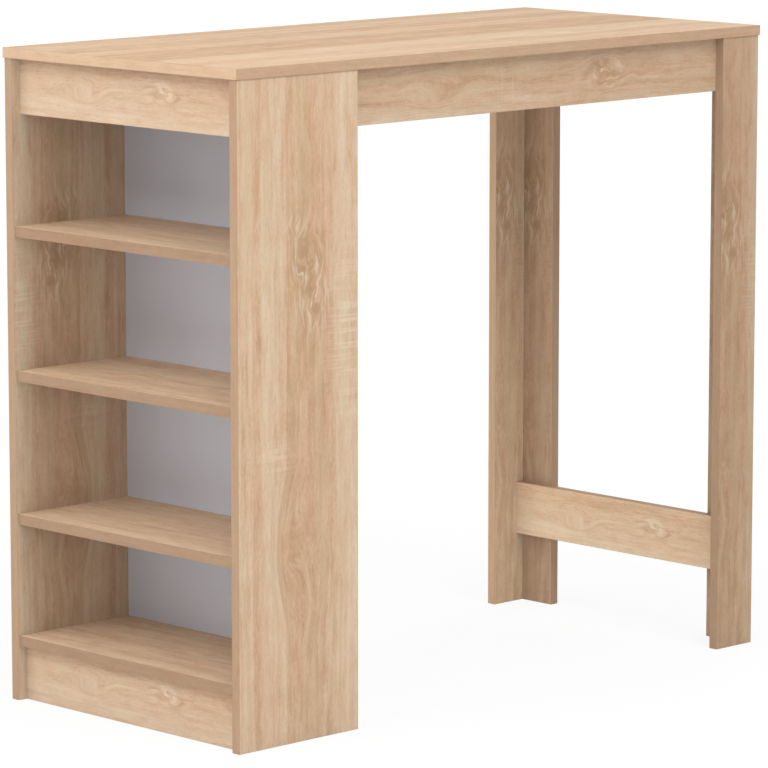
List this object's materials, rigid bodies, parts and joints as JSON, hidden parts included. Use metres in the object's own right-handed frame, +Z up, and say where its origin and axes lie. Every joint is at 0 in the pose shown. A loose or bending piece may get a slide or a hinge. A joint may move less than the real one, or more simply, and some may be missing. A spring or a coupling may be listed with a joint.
{
  "type": "bar table",
  "caption": "High rectangular bar table of oak laminate boards with an open shelf unit at one end, angle legs joined by a low stretcher at the other, and knee space between.",
  "frame": {"origin": "on the floor, under the middle of the tabletop", "axes": "+X along the length, from the shelf unit to the legs; +Y across the depth; +Z up"},
  "size_m": [1.144, 0.528, 1.016],
  "materials": {
    "oak_top": "matt laminate, pale oak grain",
    "oak_laminate": "matt laminate, pale oak grain",
    "white_laminate": "smooth white laminate",
    "beech": "raw beech",
    "zinc": "die-cast zinc",
    "steel": "zinc-plated steel"
  },
  "bodies": {
    "root": {"tabletop": "oak_top", "front_side_panel": "oak_laminate", "rear_side_panel": "oak_laminate", "back_panel": "white_laminate", "upper_shelf": "oak_laminate", "middle_shelf": "oak_laminate", "lower_shelf": "oak_laminate", "bottom_shelf": "oak_laminate", "plinth": "oak_laminate", "end_apron": "oak_laminate", "front_rail": "oak_laminate", "rear_rail": "oak_laminate", "leg_end_rail": "oak_laminate", "front_leg_face_board": "oak_laminate", "front_leg_side_board": "oak_laminate", "rear_leg_face_board": "oak_laminate", "rear_leg_side_board": "oak_laminate", "leg_stretcher": "oak_laminate", "cam_locks": "zinc", "cam_bolts": "steel", "wood_dowels": "beech", "shelf_pins": "steel", "rail_screws": "steel"}
  },
  "joints": []
}
